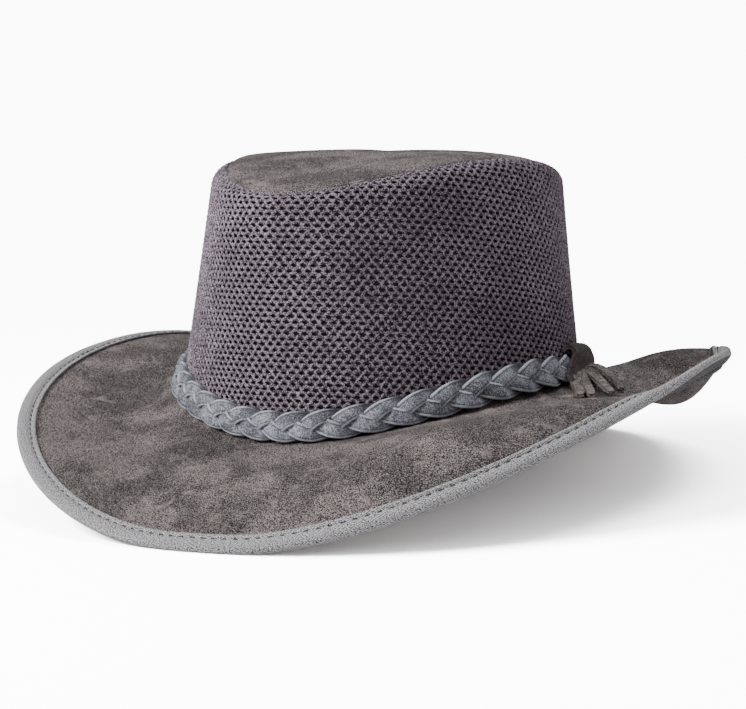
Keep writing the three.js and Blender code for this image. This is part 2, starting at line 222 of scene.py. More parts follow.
def brim_place_under(x, y):
    """The angle and reach of the brim under points in plan, found step by step."""
    across = x / OPENING["half_width"]
    along = (OPENING["centre_y"] - y) / OPENING["half_length"]
    angle = np.degrees(np.arctan2(across, along))
    reach = np.zeros_like(angle)
    for _ in range(6):
        here = brim_middle(angle, reach)
        turned = brim_middle(angle + 1, reach) - here
        reached = brim_middle(angle, reach + 0.1) - here
        size = turned[..., 0] * reached[..., 1] - turned[..., 1] * reached[..., 0]
        left_x = x - here[..., 0]
        left_y = y - here[..., 1]
        angle = angle + (left_x * reached[..., 1] - left_y * reached[..., 0]) / size
        reach = reach + 0.1 * (turned[..., 0] * left_y - turned[..., 1] * left_x) / size
    return angle, reach


def seam_rise(degrees):
    return wave(SEAM_HEIGHT, degrees)


def wall_point(degrees, height, inset):
    """A point of the crown's outer wall at a height, so far in from its face."""
    foot = brim_at_foot(degrees)
    share = (height - foot) / (seam_rise(degrees) - SEAM_ABOVE_WALL - foot)
    inner_x, inner_y = oval(OPENING, degrees, inset)
    upper_x, upper_y = oval(WALL_TOP, degrees, inset)
    x = mixed(inner_x, upper_x, share)
    y = mixed(inner_y, upper_y, share)
    return np.stack(np.broadcast_arrays(x, y, height), -1)


def foot_point(degrees, out, up):
    """A point beside the crown's foot, lifted where the brim rises beside it."""
    foot = brim_at_foot(degrees)
    rise = brim_face(degrees, reach_from_opening(degrees, out)) - foot
    share = np.maximum(1 - up / PLAIT_HEIGHT, 0)
    return wall_point(degrees, foot + up + np.maximum(rise, 0) * share, -out)


def crown_face(degrees, climb, proud):
    """The mesh face of the crown: climb is the height up the wall and on over the
    fold, and proud is how far a point stands out of the face."""
    fold_foot = seam_rise(degrees) - FOLD_HEIGHT
    turn = np.clip((climb - fold_foot) / FOLD_ARC, 0, 1) * math.pi / 2
    height = np.minimum(climb, fold_foot) + FOLD_HEIGHT * np.sin(turn)
    inset = FOLD_INSET * (1 - np.cos(turn))
    height = height + proud * np.sin(turn)
    return wall_point(degrees, height, inset - proud * np.cos(turn))


def ring_faces(rows, columns, round_rows=True, round_columns=False):
    """Quads over a grid of points, joined at its ends where asked."""
    i = np.arange(rows if round_rows else rows - 1)[:, None]
    j = np.arange(columns if round_columns else columns - 1)[None, :]
    i2 = (i + 1) % rows
    j2 = (j + 1) % columns
    corners = [i * columns + j, i2 * columns + j, i2 * columns + j2, i * columns + j2]
    return np.stack(np.broadcast_arrays(*corners), -1).reshape(-1, 4)


def make_piece(name, points, faces, material, node):
    """A mesh piece from points in millimetres, riding with the hat."""
    mesh = bpy.data.meshes.new(name)
    places = np.asarray(points).reshape(-1, 3) * MM
    mesh.from_pydata(places.tolist(), [], [list(face) for face in faces])
    mesh.validate()
    mesh.materials.append(material)
    mesh.polygons.foreach_set("use_smooth", [True] * len(mesh.polygons))
    mesh.update()
    piece = bpy.data.objects.new(name, mesh)
    bpy.context.scene.collection.objects.link(piece)
    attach(piece, BODY)
    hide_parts(node)
    return piece


def corner_values(piece, name, values):
    """A vector for each face corner, so that it can jump where a ring closes."""
    layer = piece.data.attributes.new(name, "FLOAT_VECTOR", "CORNER")
    layer.data.foreach_set("vector", np.asarray(values, float).ravel())


def point_values(piece, name, values):
    layer = piece.data.attributes.new(name, "FLOAT", "POINT")
    layer.data.foreach_set("value", np.asarray(values, float).ravel())


def grid_corner_values(rows, columns, along, across, round_columns):
    """Along and across values for the corners of ring_faces on a closed ring."""
    i = np.arange(rows)[:, None]
    j = np.arange(columns if round_columns else columns - 1)[None, :]
    i, j = np.broadcast_arrays(i, j)
    corner_i = np.stack([i, i + 1, i + 1, i], -1)
    corner_j = np.stack([j, j, j + 1, j + 1], -1)
    along_all = np.append(along, along[-1] + (along[1] - along[0]))
    across_all = np.append(across, across[0])
    zero = np.zeros(corner_i.shape)
    return np.stack([along_all[corner_i], across_all[corner_j], zero], -1).reshape(-1, 3)


# Materials


def linear(red, green, blue):
    """A colour given as 0 to 255 on screen, for a shader."""
    def channel(value):
        share = value / 255
        return share / 12.92 if share <= 0.04045 else ((share + 0.055) / 1.055) ** 2.4

    return (channel(red), channel(green), channel(blue))


class Tree:
    """Adds nodes to one node tree and joins them."""

    def __init__(self, tree):
        self.tree = tree

    def node(self, kind, inputs=None, **settings):
        node = self.tree.nodes.new(kind)
        for name, value in settings.items():
            setattr(node, name, value)
        for name, value in (inputs or {}).items():
            self.feed(node.inputs[name], value)
        return node

    def feed(self, socket, value):
        """Gives a socket a link, a number or a colour."""
        if isinstance(value, bpy.types.NodeSocket):
            self.tree.links.new(value, socket)
        elif isinstance(value, (int, float)):
            socket.default_value = value
        else:
            socket.default_value = (*value[:3], 1)

    def attribute(self, name, output="Fac"):
        return self.node("ShaderNodeAttribute", attribute_name=name).outputs[output]

    def math(self, operation, a, b=0.0, clamp=False):
        node = self.node("ShaderNodeMath", operation=operation, use_clamp=clamp)
        self.feed(node.inputs[0], a)
        self.feed(node.inputs[1], b)
        return node.outputs[0]

    def times(self, a, b, clamp=False):
        return self.math("MULTIPLY", a, b, clamp)

    def plus(self, a, b):
        return self.math("ADD", a, b)

    def minus(self, a, b):
        return self.math("SUBTRACT", a, b)

    def mix(self, share, a, b):
        """Mixes two colours, through the sockets that a colour mix has."""
        node = self.node("ShaderNodeMix", data_type="RGBA")
        for place, value in ((0, share), (6, a), (7, b)):
            self.feed(node.inputs[place], value)
        return node.outputs[2]

    def range(self, value, low, high, to_low=0.0, to_high=1.0):
        node = self.node(
            "ShaderNodeMapRange",
            {
                "Value": value, "From Min": low, "From Max": high,
                "To Min": to_low, "To Max": to_high,
            },
        )
        return node.outputs[0]

    def noise(self, place, scale, detail=2.0, rough=0.5, distortion=0.0):
        node = self.node(
            "ShaderNodeTexNoise",
            {
                "Vector": place, "Scale": scale, "Detail": detail,
                "Roughness": rough, "Distortion": distortion,
            },
        )
        return node.outputs["Fac"]


def group(name, inputs, outputs):
    """A new node group with its sockets: (name, kind, default) in, (name, kind) out."""
    tree = bpy.data.node_groups.new(name, "ShaderNodeTree")
    kinds = {"float": "NodeSocketFloat", "colour": "NodeSocketColor", "vector": "NodeSocketVector"}
    for title, kind, default in inputs:
        socket = tree.interface.new_socket(title, in_out="INPUT", socket_type=kinds[kind])
        if kind == "float":
            socket.default_value = default
        elif kind == "colour":
            socket.default_value = (*default, 1)
    for title, kind in outputs:
        tree.interface.new_socket(title, in_out="OUTPUT", socket_type=kinds[kind])
    build = Tree(tree)
    return build, build.node("NodeGroupInput").outputs, build.node("NodeGroupOutput").inputs


def grain_group():
    """Pebbled leather grain: fine cells with soft creases between them."""
    build, given, out = group(
        "Leather grain",
        [("Place", "vector", None), ("Cell Scale", "float", 900), ("Crease Scale", "float", 60)],
        [("Height", "float"), ("Creases", "float")],
    )
    warp = build.noise(given["Place"], 300, 2)
    moved = build.node("ShaderNodeVectorMath", operation="ADD")
    build.feed(moved.inputs[0], given["Place"])
    scaled = build.node("ShaderNodeVectorMath", operation="SCALE")
    build.feed(scaled.inputs[0], warp)
    scaled.inputs["Scale"].default_value = 0.0006
    build.feed(moved.inputs[1], scaled.outputs[0])
    cells = build.node(
        "ShaderNodeTexVoronoi", {"Vector": moved.outputs[0], "Scale": given["Cell Scale"]}
    )
    folds = build.noise(given["Place"], given["Crease Scale"], 6, 0.6, 0.6)
    ridged = build.math("ABSOLUTE", build.minus(folds, 0.5))
    creases = build.range(ridged, 0.0, 0.05, 1, 0)
    pebbles = build.minus(1.0, cells.outputs["Distance"])
    height = build.minus(pebbles, build.times(creases, 0.35))
    build.feed(out["Height"], height)
    build.feed(out["Creases"], creases)
    return build.tree


def wear_group():
    """Distressed colour: soft dark patches, pale smudges and fine pebbled specks."""
    build, given, out = group(
        "Worn leather",
        [
            ("Place", "vector", None),
            ("Colour", "colour", (0.1, 0.1, 0.1)),
            ("Pale", "colour", (0.2, 0.2, 0.2)),
            ("Dark", "colour", (0.05, 0.05, 0.05)),
            ("Patch Scale", "float", 22),
            ("Smudge Amount", "float", 0.5),
            ("Speck Scale", "float", 1200),
            ("Speck Amount", "float", 0.5),
        ],
        [("Colour", "colour"), ("Wear", "float"), ("Specks", "float")],
    )
    place = given["Place"]
    scale = given["Patch Scale"]
    broad = build.noise(place, scale, 3, 0.5, 0.3)
    dark = build.range(broad, 0.42, 0.56, 1, 0)
    smudges = build.noise(place, build.times(scale, 3), 4, 0.6, 0.8)
    smudge = build.times(build.range(smudges, 0.57, 0.7), given["Smudge Amount"])
    colour = build.mix(build.times(dark, 0.5), given["Colour"], given["Dark"])
    specks = build.noise(place, given["Speck Scale"], 1, 0.6)
    shaded = build.minus(specks, build.times(dark, 0.035))
    light = build.times(build.range(shaded, 0.5, 0.56), given["Speck Amount"])
    deep = build.times(build.range(shaded, 0.44, 0.5, 1, 0), given["Speck Amount"])
    colour = build.mix(light, colour, given["Pale"])
    colour = build.mix(deep, colour, given["Dark"])
    colour = build.mix(build.times(dark, 0.3), colour, given["Dark"])
    colour = build.mix(smudge, colour, given["Pale"])
    build.feed(out["Colour"], colour)
    build.feed(out["Wear"], smudge)
    build.feed(out["Specks"], specks)
    return build.tree


def twill_group():
    """Twill cloth with flecked yarns, from a place along and across the cloth."""
    build, given, out = group(
        "Twill cloth",
        [
            ("Cloth Place", "vector", None),
            ("Colour", "colour", (0.2, 0.2, 0.2)),
            ("Fleck", "colour", (0.5, 0.5, 0.5)),
            ("Shadow", "colour", (0.05, 0.05, 0.05)),
        ],
        [("Colour", "colour"), ("Height", "float")],
    )
    parts = build.node("ShaderNodeSeparateXYZ", {"Vector": given["Cloth Place"]})
    along, across = parts.outputs[0], parts.outputs[1]
    ribs = build.plus(along, build.times(across, 1.25))
    rib = build.math("SINE", build.times(ribs, 2 * math.pi / 0.95))
    weft = build.math("SINE", build.times(across, 2 * math.pi / 0.7))
    height = build.plus(build.times(rib, 0.5), build.times(weft, 0.2))
    stretched = build.node("ShaderNodeMapping", {"Vector": given["Cloth Place"]})
    stretched.inputs["Rotation"].default_value = (0, 0, math.radians(38))
    stretched.inputs["Scale"].default_value = (1, 1.7, 1)
    fleck = build.noise(stretched.outputs[0], 1.45, 1, 0.6)
    mixed_yarns = build.plus(fleck, build.times(rib, 0.08))
    light = build.range(mixed_yarns, 0.49, 0.54)
    deep = build.range(mixed_yarns, 0.43, 0.49, 1, 0)
    colour = build.mix(light, given["Colour"], given["Fleck"])
    colour = build.mix(deep, colour, given["Shadow"])
    build.feed(out["Colour"], colour)
    build.feed(out["Height"], height)
    return build.tree


def yarn_group():
    """Twisted yarn: light and dark specks, and painted shade that grows with each point's shade value:
    fewer light specks off the crossings, darker yarn down in the holes.
    """
    build, given, out = group(
        "Knitted yarn",
        [
            ("Place", "vector", None),
            ("Depth", "float", 0),
            ("Colour", "colour", (0.1, 0.1, 0.1)),
            ("Light", "colour", (0.4, 0.4, 0.4)),
            ("Hole Shade", "colour", (0.01, 0.01, 0.01)),
        ],
        [("Colour", "colour"), ("Height", "float")],
    )
    place = given["Place"]
    strands = build.noise(place, 2600, 1, 0.6)
    tufts = build.noise(place, 1200, 1, 0.6)
    blend = build.plus(build.times(strands, 0.5), build.times(tufts, 0.5))
    # Painted shade: the higher a point's shade value, the fewer light specks and the more dark ones it
    # gets
    raised = build.minus(blend, build.times(given["Depth"], 0.22))
    light = build.range(raised, 0.42, 0.55)
    dark = build.range(raised, 0.32, 0.44, 1, 0)
    broad = build.range(build.noise(place, 30, 3, 0.5), 0.35, 0.65, 0.5, 0.75)
    colour = build.mix(build.times(light, broad, True), given["Colour"], given["Light"])
    colour = build.mix(build.times(dark, 0.75), colour, given["Hole Shade"])
    # Painted shade: down in the holes the yarn turns to the hole shade colour
    colour = build.mix(build.range(given["Depth"], 0.32, 0.72), colour, given["Hole Shade"])
    build.feed(out["Colour"], colour)
    build.feed(out["Height"], blend)
    return build.tree


GROUPS = {}


def shared(maker):
    """A node group, built once."""
    if maker.__name__ not in GROUPS:
        GROUPS[maker.__name__] = maker()
    return GROUPS[maker.__name__]


def new_material(name, **constants):
    """A material with its shader, and constant numbers on the shader's own sockets."""
    material = bpy.data.materials.new(name)
    material.use_nodes = True
    build = Tree(material.node_tree)
    shader = material.node_tree.nodes["Principled BSDF"]
    for title, value in constants.items():
        shader.inputs[title.replace("_", " ")].default_value = value
    return material, build, shader


def surface(build, shader, colour, rough, height, depth):
    """Feeds the shader its colour, its roughness and a bump."""
    build.feed(shader.inputs["Base Color"], colour)
    build.feed(shader.inputs["Roughness"], rough)
    bump = build.node("ShaderNodeBump", {"Height": height, "Distance": depth})
    build.feed(shader.inputs["Normal"], bump.outputs["Normal"])


def use_group(build, maker, values):
    node = build.node("ShaderNodeGroup")
    node.node_tree = shared(maker)
    for title, value in values.items():
        build.feed(node.inputs[title], value)
    return node.outputs


def object_place(build):
    return build.node("ShaderNodeTexCoord").outputs["Object"]


def leather_material(name, colours, patch_scale, speck=1.0, speck_scale=2100.0, depth=0.0007):
    """Leather in a base, a pale and a dark colour."""
    material, build, shader = new_material(name, Specular_IOR_Level=0.3)
    place = object_place(build)
    base, pale, dark = colours
    worn = use_group(build, wear_group, {
        "Place": place, "Colour": base, "Pale": pale, "Dark": dark, "Patch Scale": patch_scale,
        "Smudge Amount": 0.55, "Speck Scale": speck_scale, "Speck Amount": speck,
    })
    grained = use_group(build, grain_group, {
        "Place": place, "Cell Scale": speck_scale * 0.7, "Crease Scale": patch_scale * 4,
    })
    lined = build.mix(build.times(grained["Creases"], 0.12), worn["Colour"], pale)
    rough = build.range(worn["Wear"], 0, 0.5, 0.7, 0.9)
    height = build.plus(build.times(grained["Height"], 0.4), worn["Specks"])
    surface(build, shader, lined, rough, height, depth)
    return material


def lace_material(colours):
    """Smooth grey-blue lace, with painted shade where it lies low in the crossings and along a line in
    from each edge, and a painted highlight on its rolled edges.
    """
    material, build, shader = new_material("Lace leather", Specular_IOR_Level=0.45)
    place = object_place(build)
    base, pale, dark = colours
    worn = use_group(build, wear_group, {
        "Place": place, "Colour": base, "Pale": pale, "Dark": dark, "Patch Scale": 90.0,
        "Smudge Amount": 0.45, "Speck Scale": 1800.0, "Speck Amount": 0.5,
    })
    edge = build.attribute("lace_edge")
    soft = build.plus(edge, build.times(build.noise(place, 260, 3), 0.3))
    # Painted highlight along the rolled edges
    rolled = build.range(soft, 0.9, 1.0)
    # Painted shade along a fold line in from each edge
    groove_shade = build.range(build.math("ABSOLUTE", build.minus(edge, 0.64)), 0.0, 0.13, 1, 0)
    colour = build.mix(build.times(rolled, 0.7), worn["Colour"], pale)
    colour = build.mix(build.times(groove_shade, 0.75), colour, dark)
    # Painted shade where the lace lies low, under the laces that cross it
    low = build.attribute("lace_painted_shade")
    colour = build.mix(build.times(low, 0.95, True), colour, dark)
    rough = build.range(build.noise(place, 400, 2), 0.3, 0.7, 0.48, 0.66)
    surface(build, shader, colour, rough, worn["Specks"], 0.0004)
    return material


def yarn_material(name, colours, attribute):
    material, build, shader = new_material(name, Specular_IOR_Level=0.2)
    place = object_place(build)
    # The third colour is the painted shade of the holes; the attribute, where given, holds each point's
    # painted shade
    base, light, hollow = colours
    depth = 0.0
    if attribute:
        depth = build.attribute(attribute)
    yarn = use_group(build, yarn_group, {
        "Place": place, "Depth": depth, "Colour": base, "Light": light, "Hole Shade": hollow,
    })
    rough = build.range(yarn["Height"], 0.3, 0.7, 0.8, 0.95)
    surface(build, shader, yarn["Colour"], rough, yarn["Height"], 0.0006)
    return material


def twill_material(colours):
    material, build, shader = new_material("Twill binding", Specular_IOR_Level=0.2)
    place = build.attribute("cloth_place", "Vector")
    base, fleck, shadow = colours
    cloth = use_group(build, twill_group, {
        "Cloth Place": place, "Colour": base, "Fleck": fleck, "Shadow": shadow,
    })
    across = build.node("ShaderNodeSeparateXYZ", {"Vector": place}).outputs[1]
    # Painted shade on the cloth's lower face
    under = build.range(across, -2.8, -1.8, 0.6, 0)
    # Painted shade in a groove at the lower end of the nose
    groove_shade = build.range(build.math("ABSOLUTE", build.plus(across, 2.3)), 0.0, 0.5, 0.8, 0)
    shaded = build.mix(under, cloth["Colour"], shadow)
    shaded = build.mix(groove_shade, shaded, shadow)
    rough = build.range(cloth["Height"], -0.6, 0.6, 0.95, 0.82)
    surface(build, shader, shaded, rough, cloth["Height"], 0.00022)
    return material


def thread_material(colour, light):
    material, build, shader = new_material("Sewing thread", Specular_IOR_Level=0.3)
    twist = build.noise(object_place(build), 2500, 2)
    blend = build.mix(build.range(twist, 0.35, 0.75), colour, light)
    rough = build.range(twist, 0.3, 0.7, 0.6, 0.8)
    surface(build, shader, blend, rough, twist, 0.0001)
    return material


# Sizes and colours that a user may change


def length(title, description, default):
    return FloatProperty(
        name=title, description=description, default=default, min=0, subtype="DISTANCE", unit="LENGTH"
    )


def colour(title, description, red, green, blue):
    return FloatVectorProperty(
        name=title, description=description, default=linear(red, green, blue),
        subtype="COLOR", size=3, min=0, max=1,
    )


class HatMeshSizes(bpy.types.PropertyGroup):
    hole_pitch: length("Hole pitch", "Distance between holes along a row", 4.3 * MM)
    row_pitch: length("Row pitch", "Distance between rows of holes", 2.45 * MM)
    hole_width: length("Hole width", "Width of one hole", 2.7 * MM)
    hole_height: length("Hole height", "Height of one hole", 1.2 * MM)
    yarn_swell: length("Yarn swell", "How far the yarn stands out at its crossings", 0.35 * MM)


class HatBindingSizes(bpy.types.PropertyGroup):
    stitch_length: length("Stitch length", "Length of one stitch and its gap", 5.2 * MM)
    stitch_inset: length("Stitch inset", "Stitch line from the cloth's inner edge", 2.5 * MM)
    thread_width: length("Thread width", "Thickness of the thread", 0.6 * MM)


class HatPlaitSizes(bpy.types.PropertyGroup):
    lobes: IntProperty(name="Lobes", description="Lobes along each side of the plait", default=42, min=9)
    lace_width: length("Lace width", "Width of one lace", 7.4 * MM)
    lace_thickness: length("Lace thickness", "Thickness of one lace", 1.9 * MM)


class HatColours(bpy.types.PropertyGroup):
    yarn: colour("Yarn", "Mesh yarn", 74, 63, 73)
    yarn_light: colour("Yarn light", "Lit strands of the mesh", 198, 184, 198)
    # The hole shade colour is painted shade down in the mesh holes, and also the dark yarn specks
    yarn_hole_shade: colour("Yarn hollow", "Depth of the mesh holes", 14, 10, 16)
    leather: colour("Leather", "Brim and top", 66, 59, 58)
    leather_pale: colour("Worn leather", "Worn patches and creases", 163, 152, 150)
    leather_dark: colour("Dark leather", "Darker patches", 14, 11, 12)
    cloth: colour("Binding", "Twill binding", 138, 136, 138)
    cloth_fleck: colour("Binding fleck", "Pale yarns of the binding", 218, 216, 219)
    # The binding shadow colour is the dark yarns and the thread's twist, and also painted shade on the
    # cloth's lower face and in the groove below its nose
    cloth_shadow: colour("Binding shadow", "Dark yarns of the binding", 50, 47, 50)
    lace: colour("Lace", "Plaited laces", 124, 127, 138)
    # The lace edge colour is a painted highlight on the rolled edges, and also the pale worn smudges
    lace_pale: colour("Lace edge", "Rolled edges of the laces", 196, 198, 208)
    # The lace shade colour is painted shade in the crossings and along the fold lines, and also the
    # darker worn patches
    lace_dark: colour("Lace shade", "Darker stretches of the laces", 38, 39, 48)
    # The wrap colour is painted shade: darker because the strip's face turns away from the key light
    wrap: colour("Wrap", "Suede-like wrap", 64, 56, 55)
    # The fringe colour is painted light: lighter because the tails face up into the light
    fringe: colour("Fringe", "Cut tails of the wrap", 102, 94, 92)
    wrap_pale: colour("Wrap edge", "Cut edges of the wrap", 172, 162, 157)
    wrap_dark: colour("Wrap shade", "Darker nap of the wrap", 44, 38, 38)
    thread: colour("Thread", "Stitches", 74, 70, 72)
    floor: colour("Floor", "Studio floor, as the hat sees it", 222, 222, 222)


# Crown


def turn_tables():
    """For the wall's foot and top, the angle that a share of the way round reaches."""
    degrees = np.linspace(-180, 180, 721)
    tables = []
    for shape in (OPENING, WALL_TOP):
        x, y = oval(shape, degrees)
        steps = np.hypot(np.diff(x), np.diff(y))
        travelled = np.concatenate([[0], np.cumsum(steps)])
        tables.append(2 * travelled / travelled[-1] - 1)
    return degrees, tables


PANEL_RADIUS = 641.0
PANEL_HALF_TURN = 0.471
PANEL_LEVEL = 90.0
NET_DEEP = 1.5
SEWN_DEPTH = 0.3
NET_SEED = 7

# A hole is a funnel of four rings: how far each stands out of the crown's face
# below the lattice, and how much painted shade its yarn gets
CORNERS = 8
RINGS = 4
HOLE_LEVELS = (-0.25, -0.7, -NET_DEEP)
HOLE_SHADES = (0.32, 0.75, 1.0)


def fabric_to_crown(x, y, proud):
    """A place on the flat mesh panel, laid round the crown."""
    turn = np.arctan2(x, PANEL_RADIUS - y)
    climb = PANEL_LEVEL + PANEL_RADIUS - np.hypot(x, PANEL_RADIUS - y)
    share = np.clip(turn / PANEL_HALF_TURN, -1, 1)
    degrees, (foot, top) = turn_tables()
    low = np.interp(share, foot, degrees)
    high = np.interp(share, top, degrees)
    root = brim_at_foot(low) + WALL_FOOT_GAP
    up = np.clip((climb - root) / (seam_rise(low) - root), 0, 1)
    angle = mixed(low, high, up)
    highest = seam_rise(angle) - FOLD_HEIGHT + FOLD_ARC
    lowest = brim_at_foot(angle) + WALL_FOOT_GAP
    return crown_face(angle, np.clip(climb, lowest, highest), proud)


def net_cells(pitch, row):
    """Hole centres on the flat panel, in staggered rows, with those off it left out."""
    columns = np.arange(-80, 81)
    rows = np.arange(-50, 60)
    j, i = np.meshgrid(rows, columns, indexing="ij")
    x = (i + (j % 2) / 2) * pitch
    y = j * row
    turn = np.arctan2(x, PANEL_RADIUS - y) / PANEL_HALF_TURN
    climb = PANEL_LEVEL + PANEL_RADIUS - np.hypot(x, PANEL_RADIUS - y)
    degrees = np.clip(turn, -1, 1) * 180
    root = brim_at_foot(degrees)
    highest = seam_rise(degrees) - FOLD_HEIGHT + FOLD_ARC
    seam = 1 + pitch / 2 / (PANEL_RADIUS * PANEL_HALF_TURN)
    kept = (np.abs(turn) < seam) & (climb > root - row) & (climb < highest + row)
    return x[kept], y[kept]


def build_crown_net(sizes, colours):
    """The knitted outer face: one raised yarn lattice with open holes, in two halves."""
    pitch = sizes.hole_pitch / MM
    row = sizes.row_pitch / MM
    half_width = sizes.hole_width / MM / 2
    half_height = sizes.hole_height / MM / 2
    swell = sizes.yarn_swell / MM
    shape = np.radians(np.arange(CORNERS) * 360 / CORNERS)
    corner = np.abs(np.cos(shape)) + np.abs(np.sin(shape))
    diamond = np.stack([np.cos(shape) / corner, np.sin(shape) / corner], -1)
    crossing = np.arange(CORNERS) % 2 == 0
    rounder = np.where(crossing, 1.0, 1.22)[:, None]
    outer = diamond * (pitch / 2, row)
    hole = diamond * rounder * (half_width, half_height)
    rings = [outer, mixed(outer, hole, 0.86), hole, hole * 0.8]
    knots = np.where(crossing, 1.0, 0.3) * swell
    prouds = [knots] + [np.full(CORNERS, level) for level in HOLE_LEVELS]
    # Painted highlight at the crossings, which get no painted shade; the rest of the lattice gets a
    # little and the hole rings more
    painted_shades = [np.where(crossing, 0.0, 0.15)] + [np.full(CORNERS, shade) for shade in HOLE_SHADES]
    random = np.random.default_rng(NET_SEED)
    material = yarn_material(
        "Mesh yarn", (colours.yarn, colours.yarn_light, colours.yarn_hole_shade), "yarn_painted_shade"
    )
    x, y = net_cells(pitch, row)
    for name, side in (("mesh_left", x > 0), ("mesh_right", x <= 0)):
        build_net_half(name, x[side], y[side], rings, prouds, painted_shades, random, material)


def build_net_half(name, x, y, rings, prouds, painted_shades, random, material):
    """One half of the lattice, its holes a little uneven, joined where cells meet."""
    count = len(x)
    size = 1 + random.normal(0, 0.05, count)[:, None]
    shift = random.normal(0, 0.05, (count, 2))
    points = []
    tall = []
    # deep gathers the painted shade of each point
    deep = []
    for k, ring in enumerate(rings):
        scale = size if k > 1 else 1
        moved = shift[:, None, :] * (0, 0.5, 1, 1)[k]
        grown = ring[None] * np.reshape(scale, (-1, 1, 1))
        points.append(np.stack([x, y], -1)[:, None, :] + grown + moved)
        tall.append(np.broadcast_to(prouds[k], (count, CORNERS)))
        deep.append(np.broadcast_to(painted_shades[k], (count, CORNERS)))
    flat = np.concatenate(points, 1).reshape(-1, 2)
    tall = np.concatenate(tall, 1).reshape(-1)
    deep = np.concatenate(deep, 1).reshape(-1)
    keys = np.round(flat / 0.05).astype(np.int64)
    shared_ring = np.tile(np.repeat(np.arange(RINGS) == 0, CORNERS), count)
    own = (~shared_ring).sum()
    keys[~shared_ring] = np.stack([np.arange(own), np.full(own, 10**6)], -1)
    _, first, place = np.unique(keys, axis=0, return_index=True, return_inverse=True)
    place = place.reshape(-1)
    solid = fabric_to_crown(flat[first, 0], flat[first, 1], tall[first])
    start = np.arange(count)[:, None, None] * RINGS * CORNERS
    low = start + np.arange(RINGS - 1)[None, :, None] * CORNERS
    high = low + CORNERS
    k = np.arange(CORNERS)[None, None, :]
    k2 = (k + 1) % CORNERS
    corners = [low + k, low + k2, high + k2, high + k]
    faces = place[np.stack(np.broadcast_arrays(*corners), -1).reshape(-1, 4)]
    sides = np.linalg.norm(solid[faces] - solid[np.roll(faces, 1, 1)], axis=-1)
    spans = np.linalg.norm(solid[faces[:, 0]] - solid[faces[:, 2]], axis=-1)
    faces = faces[(sides.min(1) > 0.02) & (spans > 0.05)]
    used = np.unique(faces)
    renumber = np.zeros(len(solid), int)
    renumber[used] = np.arange(len(used))
    piece = make_piece(name, solid[used], renumber[faces], material, "crown_side")
    point_values(piece, "yarn_painted_shade", deep[first][used])


def build_crown_wall():
    """The closed inner face of the mesh, dark behind the holes and plain inside."""
    degrees = angles_round(CROWN_STEPS)[:, None]
    foot = brim_at_foot(degrees) - SEWN_DEPTH
    top = seam_rise(degrees) - FOLD_HEIGHT + FOLD_ARC
    climbs = foot + (top - foot) * np.linspace(0, 1, 40)[None, :]
    turned = np.broadcast_to(degrees, climbs.shape)
    outer = crown_face(turned, climbs, np.full(climbs.shape, -NET_DEEP))
    inner = crown_face(turned, climbs, np.full(climbs.shape, -WALL_THICK))
    centre = np.array([0, WALL_TOP["centre_y"]])
    away = unit(inner[:, -1:, :2] - centre)
    low_lap = inner[:, -1:].copy()
    low_lap[..., :2] -= away * TOP_LAP
    high_lap = low_lap.copy()
    high_lap[..., 2] += WALL_THICK - NET_DEEP
    outline = np.concatenate([outer, high_lap, low_lap, inner[:, ::-1]], 1)
    faces = ring_faces(len(degrees), outline.shape[1], True, True)
    material = yarn_material(
        "Mesh backing",
        (linear(52, 46, 52), linear(84, 76, 84), linear(16, 12, 18)), None,
    )
    make_piece("mesh_backing", outline, faces, material, "crown_side")


def soft_waves(x, y, size):
    """A gentle unevenness of hand-finished leather, from a few crossing waves."""
    total = np.sin(x / 23 + 1.3 * np.sin(y / 31)) + np.sin(y / 19 + 1.1 * np.sin(x / 27) + 2)
    total = total + 0.5 * np.sin((x + y) / 11 + 1) * np.sin((x - y) / 13)
    return size * total / 2.5


# How the leather top puffs up: its rise, how much more it has towards one angle,
# and how far in from the seam it fills out and settles again
TOP_PUFF = {"rise": 1.1, "more": 1.5, "towards": -70, "fills": 2.2, "settles": 22, "sunk": 0.15}


